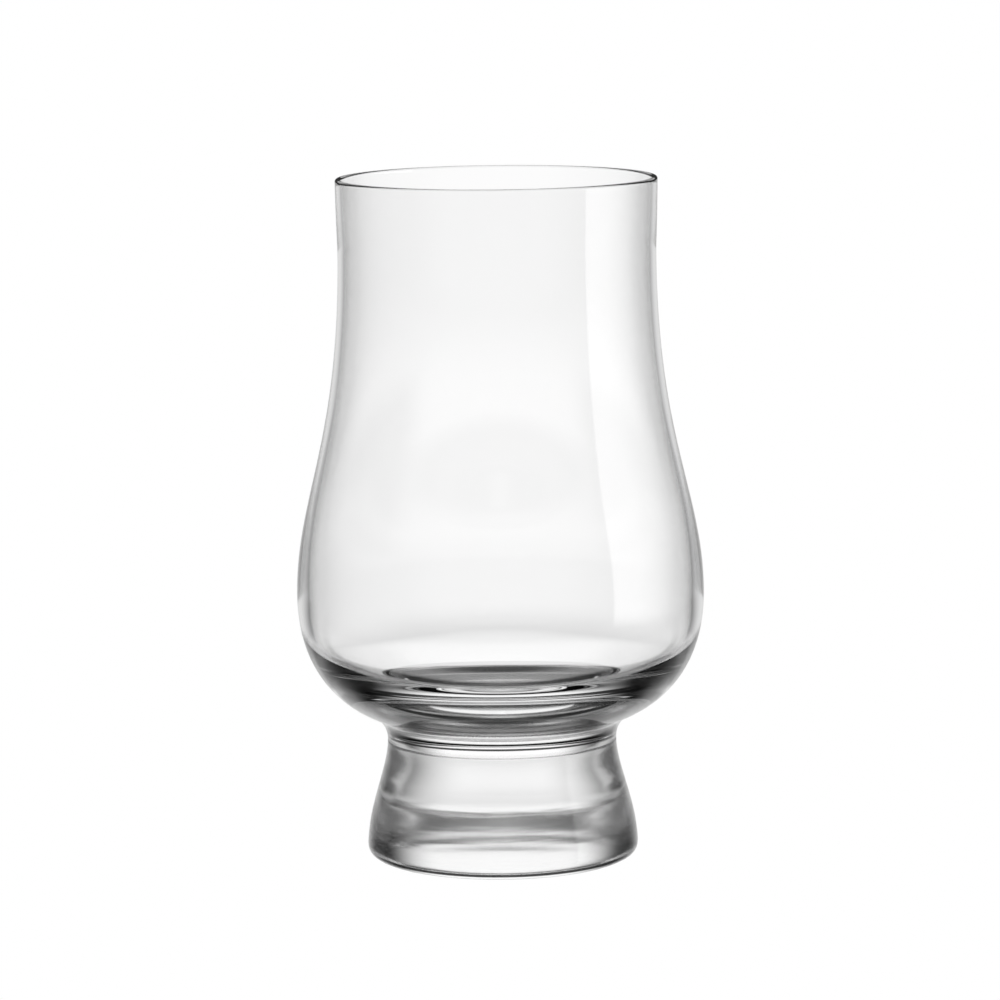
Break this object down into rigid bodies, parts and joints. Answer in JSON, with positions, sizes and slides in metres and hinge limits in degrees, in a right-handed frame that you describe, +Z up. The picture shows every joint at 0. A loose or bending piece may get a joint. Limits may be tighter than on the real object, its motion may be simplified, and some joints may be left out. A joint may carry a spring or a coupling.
{
  "type": "whisky nosing glass",
  "caption": "Clear tulip-shaped whisky nosing glass: a thin blown bowl with a wide belly and drawn-in mouth, fused to a short solid flared foot.",
  "frame": {"origin": "on the surface the glass stands on, under the middle of the foot", "axes": "+Z up along the glass's axis, towards the rim; the glass is round, so +X and +Y are free"},
  "size_m": [0.0684, 0.0684, 0.115],
  "materials": {
    "bowl_crystal": "fire-polished clear crystal",
    "foot_crystal": "pressed clear crystal with faint chill lines"
  },
  "bodies": {
    "root": {"bowl": "bowl_crystal", "foot": "foot_crystal"}
  },
  "joints": []
}
